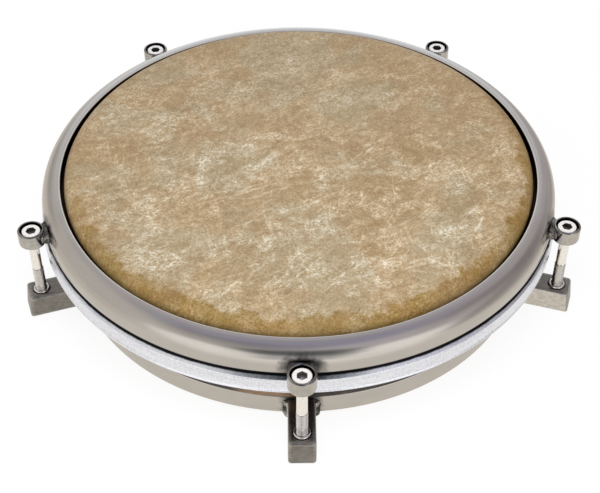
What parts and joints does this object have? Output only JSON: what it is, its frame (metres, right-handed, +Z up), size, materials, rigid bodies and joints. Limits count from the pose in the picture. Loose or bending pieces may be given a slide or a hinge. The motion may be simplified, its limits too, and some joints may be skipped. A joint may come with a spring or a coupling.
{
  "type": "travel conga",
  "caption": "Shallow hand drum with a film head drawn over a wooden bearing ring by tension bolts, standing on the lug blocks of a steel band.",
  "frame": {"origin": "on the drum's axis, in the plane of the five lug-block feet", "axes": "+Z up along the drum's axis towards the playing surface, -Y from the axis through the first lug"},
  "size_m": [0.3542, 0.3509, 0.0795],
  "materials": {
    "film": "mottled satin film",
    "satin_nickel": "satin nickel plate",
    "aluminium": "raw rolled aluminium",
    "bright_steel": "bright plated steel",
    "wood": "brown satin lacquer"
  },
  "bodies": {
    "drum": {"bearing_ring": "wood", "frame_band": "satin_nickel", "head_film": "film", "lug_block_1": "satin_nickel", "lug_block_2": "satin_nickel", "lug_block_3": "satin_nickel", "lug_block_4": "satin_nickel", "lug_block_5": "satin_nickel", "thread_insert_1": "bright_steel", "thread_insert_2": "bright_steel", "thread_insert_3": "bright_steel", "thread_insert_4": "bright_steel", "thread_insert_5": "bright_steel"},
    "hoop": {"counterhoop": "satin_nickel", "flesh_hoop": "aluminium", "rim_ear_1": "satin_nickel", "rim_ear_2": "satin_nickel", "rim_ear_3": "satin_nickel", "rim_ear_4": "satin_nickel", "rim_ear_5": "satin_nickel", "bolt_washer_1": "bright_steel", "bolt_washer_2": "bright_steel", "bolt_washer_3": "bright_steel", "bolt_washer_4": "bright_steel", "bolt_washer_5": "bright_steel"},
    "bolt_1": {"tension_bolt_1": "bright_steel"},
    "bolt_2": {"tension_bolt_2": "bright_steel"},
    "bolt_3": {"tension_bolt_3": "bright_steel"},
    "bolt_4": {"tension_bolt_4": "bright_steel"},
    "bolt_5": {"tension_bolt_5": "bright_steel"}
  },
  "joints": [
    {"name": "hoop_draw", "type": "slide", "parent": "drum", "child": "hoop", "axis": [0, 0, 1], "range_m": [-0.003, 0.004]},
    {"name": "bolt_1_turn", "type": "hinge", "parent": "hoop", "child": "bolt_1", "pos_m": [0, -0.1741, 0.0661], "axis": [0, 0, 1], "range_deg": [-1080, 1440]},
    {"name": "bolt_2_turn", "type": "hinge", "parent": "hoop", "child": "bolt_2", "pos_m": [0.16558, -0.0538, 0.0661], "axis": [0, 0, 1], "range_deg": [-1080, 1440]},
    {"name": "bolt_3_turn", "type": "hinge", "parent": "hoop", "child": "bolt_3", "pos_m": [0.10233, 0.14085, 0.0661], "axis": [0, 0, 1], "range_deg": [-1080, 1440]},
    {"name": "bolt_4_turn", "type": "hinge", "parent": "hoop", "child": "bolt_4", "pos_m": [-0.10233, 0.14085, 0.0661], "axis": [0, 0, 1], "range_deg": [-1080, 1440]},
    {"name": "bolt_5_turn", "type": "hinge", "parent": "hoop", "child": "bolt_5", "pos_m": [-0.16558, -0.0538, 0.0661], "axis": [0, 0, 1], "range_deg": [-1080, 1440]}
  ],
  "couplings": [
    {"joint": "bolt_1_turn", "follows": "hoop_draw", "rad_per_m": 6283},
    {"joint": "bolt_2_turn", "follows": "hoop_draw", "rad_per_m": 6283},
    {"joint": "bolt_3_turn", "follows": "hoop_draw", "rad_per_m": 6283},
    {"joint": "bolt_4_turn", "follows": "hoop_draw", "rad_per_m": 6283},
    {"joint": "bolt_5_turn", "follows": "hoop_draw", "rad_per_m": 6283}
  ]
}
